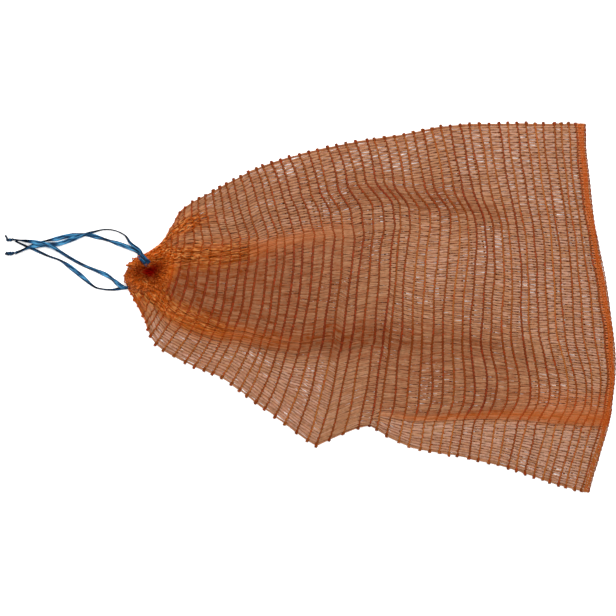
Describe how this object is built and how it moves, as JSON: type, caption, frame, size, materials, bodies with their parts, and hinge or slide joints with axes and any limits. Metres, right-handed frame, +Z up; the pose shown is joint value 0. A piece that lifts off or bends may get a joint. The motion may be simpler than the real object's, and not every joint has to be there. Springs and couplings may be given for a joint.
{
  "type": "mesh sack",
  "caption": "Empty knitted net sack lying flat, its gathered mouth drawn shut by flat tape drawstrings, for packing and airing loose vegetables.",
  "frame": {"origin": "centre of the sack's bounding box in plan, on the surface that the sack lies on; the drawstrings are left out of that box", "axes": "+X along the sack from the drawn mouth to the closed hem, +Z up from the surface, +Y towards the smooth long edge"},
  "size_m": [0.5748, 0.3468, 0.0214],
  "materials": {
    "net": "knitted orange plastic tape, slightly glossy",
    "tape": "blue stretched plastic tape with a fibrous sheen"
  },
  "bodies": {
    "root": {"sack_net": "net", "top_tape_outer": "tape", "top_tape_inner": "tape", "top_tape_knot": "tape", "low_tape_outer": "tape", "low_tape_inner": "tape", "low_tape_knot": "tape"}
  },
  "joints": []
}
